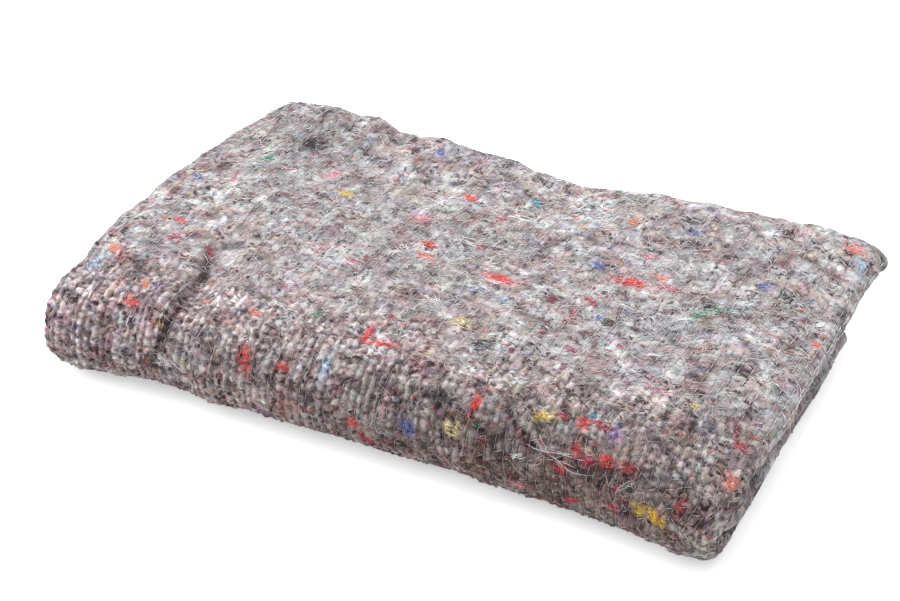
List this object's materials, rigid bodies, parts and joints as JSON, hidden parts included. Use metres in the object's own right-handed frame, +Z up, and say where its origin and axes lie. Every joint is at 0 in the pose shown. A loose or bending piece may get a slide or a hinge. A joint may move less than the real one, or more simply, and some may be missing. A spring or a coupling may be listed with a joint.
{
  "type": "folded moving blanket",
  "caption": "Quilt-like protective blanket of stitch-bonded recycled felt, folded into a flat layered bundle with one round long fold.",
  "frame": {"origin": "middle of the flat underside, at the bottom centre of the bundle's box", "axes": "+X along the long sides, towards the end where the layers turn back, +Z up out of the pile; the round front fold faces -Y"},
  "size_m": [0.5186, 0.3332, 0.081],
  "materials": {
    "recycled_felt": "matt mottled grey-mauve felt of torn-up fibres with coloured flecks, sewn through with rows of pale thread"
  },
  "bodies": {
    "root": {"blanket": "recycled_felt"}
  },
  "joints": []
}
